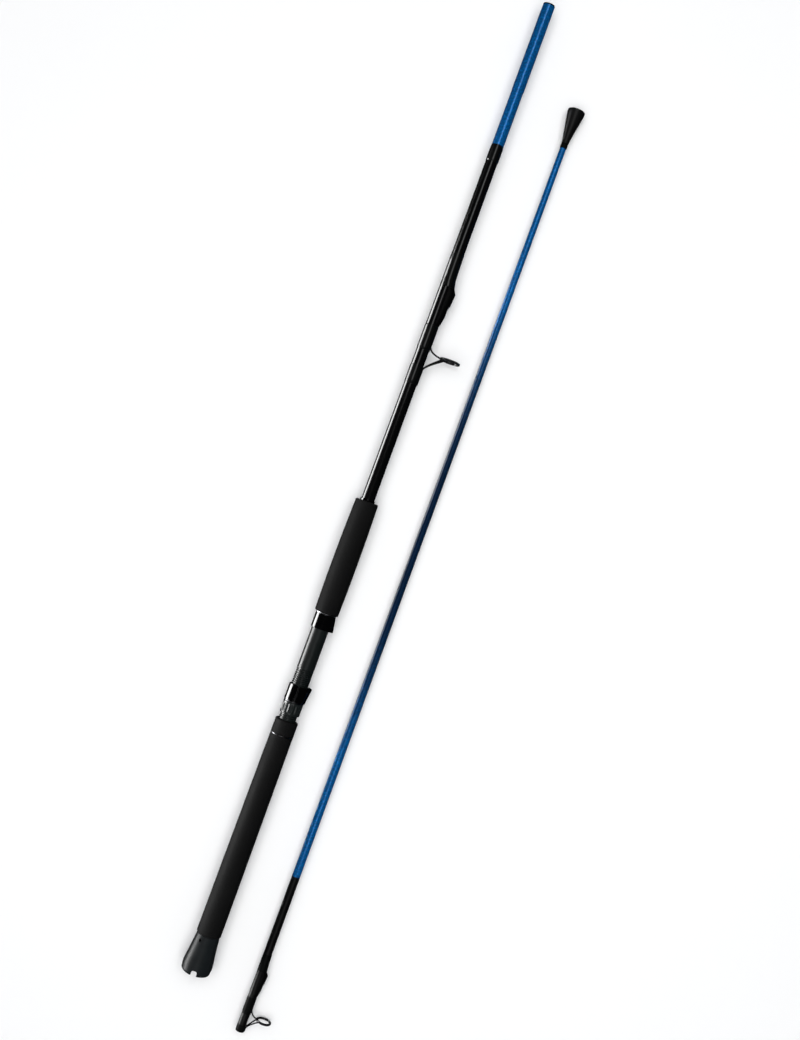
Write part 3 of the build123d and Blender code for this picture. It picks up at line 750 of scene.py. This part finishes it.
def winding(node_name, section, thickness, over_foot=0.0, finish=WINDING):
    low, high = BOX[node_name]
    shoulder = min(SHOULDER, (high.x - low.x) / 4)

    def wrapped(x, radius, angle):
        base = blank_radius(section, x)
        if radius <= base:
            return radius
        rise = smooth((x - low.x) / shoulder) * smooth((high.x - x) / shoulder)
        on_foot = smooth((-math.cos(angle) - FOOT_SIDE) / (1 - FOOT_SIDE))
        height = thickness + over_foot * on_foot
        return base + height * (EDGE_SHARE + (1 - EDGE_SHARE) * rise)

    outline = [(low.x, blank_radius(section, low.x) - SUNK)]
    for i in range(WINDING_STATIONS + 1):
        t = i / WINDING_STATIONS
        bunched = t - math.sin(4 * math.pi * t) / (4 * math.pi) * END_BUNCHING
        x = low.x + (high.x - low.x) * bunched
        outline.append((x, blank_radius(section, x) + thickness))
    outline.append((high.x, blank_radius(section, high.x) - SUNK))
    axis = middle(section + "_blank")
    piece = spin(node_name + "_bound", outline, axis, WINDING_AROUND, wrapped)
    adopt(piece, node_name, finish, sharp=60.0)
    print(node_name, "length", round(high.x - low.x, 4))


for section, finish in (("butt", WINDING), ("tip", THIN_WINDING)):
    for end in ("rear", "front"):
        winding(section + "_guide_" + end + "_winding", section, GUIDE_BINDING, OVER_FOOT, finish)
winding("colour_break_band", "butt", BAND_BINDING)
winding("tip_funnel_winding", "tip", FUNNEL_BINDING, finish=THIN_WINDING)


# %% [markdown]
# ## Line rings
#
# The line bears on hard rings with a full, polished radius. A ring is a small torus with an oval
# section, spun about the guide's own centre.

# %% Turn the line rings
RING_STEPS = 18
RING_AROUND = 80
OVALNESS = 0.8


def line_ring(node_name, wall):
    """A guide's insert: an oval section about the guide's centre."""
    low, high = BOX[node_name]
    outer = (high.z - low.z) / 2
    centre_x, half = (low.x + high.x) / 2, (high.x - low.x) / 2
    outline = []
    for i in range(RING_STEPS):
        turn = 2 * math.pi * i / RING_STEPS
        fatness = abs(math.cos(turn)) ** OVALNESS
        outline.append((centre_x + half * math.copysign(fatness, math.cos(turn)),
                        outer - wall / 2 + wall / 2 * math.sin(turn)))
    piece = spin(node_name + "_polished", outline, middle(node_name), RING_AROUND)
    adopt(piece, node_name, CERAMIC)


line_ring("butt_guide_ring", wall=1.4 * MM)
line_ring("tip_guide_ring", wall=1.1 * MM)
paint(frame["nodes"]["tip_rim_ring"], CERAMIC)
print("line rings done")


# %% [markdown]
# ## Table, light and camera
#
# The rod lies on a pale, matt table. A broad softbox overhead lights foam and plastic evenly, and
# doesn't show in reflections. The other lights show only in reflections. Two tall strips along the
# rod's left side draw the bright line that tells how glossy each part is. Two softboxes high above
# the rod's ends draw the softer line along its ridge. The table is left out of reflections, so
# that the undersides stay dark. The camera looks straight down, turned so that the rod leans about
# twenty degrees to the right.

# %% Table
TABLE_SIZE = 14.0
TABLE_GAP = 0.0002
TABLE_MIDDLE = (0.64, -0.05)
table_top = cad_box[0].z - TABLE_GAP
bpy.ops.mesh.primitive_plane_add(size=TABLE_SIZE, location=(*TABLE_MIDDLE, table_top))
table = bpy.context.object
table.name = "table"
pale = Finish("pale_table", Specular_IOR_Level=0.0, Roughness=1.0)
pale.feed("Base Color", pale.noise(0.4).mix(rgb(0.95, 0.95, 0.95), rgb(0.97, 0.97, 0.97)))
paint(table, pale.material)
table.visible_glossy = False

# %% Lights
OVERHEAD_HEIGHT, OVERHEAD_SIZE, OVERHEAD_RADIANCE = 2.6, (3.6, 3.0), 2.45
STRIP_DISTANCE = 1.3
RIDGE_HEIGHT, RIDGE_WIDTH, RIDGE_RADIANCE = 2.2, 0.7, 2.0
WORLD_STRENGTH = 0.30


def softbox(name, place, size, radiance, aim, diffuse=True, glossy=True):
    data = bpy.data.lights.new(name, "AREA")
    data.shape = "RECTANGLE"
    data.size, data.size_y = size
    data.energy = radiance * math.pi * size[0] * size[1]
    light = bpy.data.objects.new(name, data)
    bpy.context.scene.collection.objects.link(light)
    light.location = place
    light.rotation_euler = (Vector(aim) - Vector(place)).to_track_quat("-Z", "Y").to_euler()
    light.visible_diffuse = diffuse
    light.visible_glossy = glossy
    light.visible_camera = False
    return light


def lie_along_rod(light):
    """Turn a softbox about its own axis so that its first side lies along the rod."""
    look = Vector((0, 0, -1))
    look.rotate(light.rotation_euler.to_quaternion())
    side = Vector((1, 0, 0))
    up = (-look).cross(side)
    light.rotation_mode = "QUATERNION"
    light.rotation_quaternion = Matrix((side, up, -look)).transposed().to_quaternion()


middle_of_rod = (cad_box[0] + cad_box[1]) / 2
cx, cy = middle_of_rod.x, middle_of_rod.y
softbox("overhead", (cx, cy, OVERHEAD_HEIGHT), OVERHEAD_SIZE, OVERHEAD_RADIANCE, (cx, cy, 0),
        glossy=False)
for name, place, length, height, tall, radiance in (
        ("left_strip", 0.68, 1.16, -0.06, 0.72, 13.0),
        ("left_low_strip", -0.42, 1.00, 0.0, 0.44, 36.0)):
    lie_along_rod(softbox(name, (place, cy + STRIP_DISTANCE, height), (length, tall), radiance,
                          (place, cy, 0.0), diffuse=False))
for name, place, length in (("ridge_high", 1.98, 1.84), ("ridge_low", -0.775, 1.45)):
    lie_along_rod(softbox(name, (place, cy, RIDGE_HEIGHT), (length, RIDGE_WIDTH),
                          RIDGE_RADIANCE, (place, cy, 0), diffuse=False))

world = bpy.data.worlds.new("studio")
world.use_nodes = True
background = world.node_tree.nodes["Background"]
background.inputs["Color"].default_value = rgb(0.95, 0.97, 1.0)
background.inputs["Strength"].default_value = WORLD_STRENGTH
bpy.context.scene.world = world
world.cycles_visibility.glossy = False
bpy.context.scene.view_settings.view_transform = "Standard"

# %% Camera
CAMERA_HEIGHT = 1.6
LENS_PER_METRE = 26.63
CAMERA_OVER = (0.6429, -0.0483)
LEAN = math.radians(20.14)
camera_data = bpy.data.cameras.new("camera")
camera_data.sensor_width = 36.0
camera_data.lens = LENS_PER_METRE * CAMERA_HEIGHT
camera = bpy.data.objects.new("camera", camera_data)
bpy.context.scene.collection.objects.link(camera)
camera.location = (*CAMERA_OVER, CAMERA_HEIGHT)
camera.rotation_euler = (0.0, 0.0, LEAN - math.pi / 2)
bpy.context.scene.camera = camera
print("camera height", CAMERA_HEIGHT, "lens", camera_data.lens)
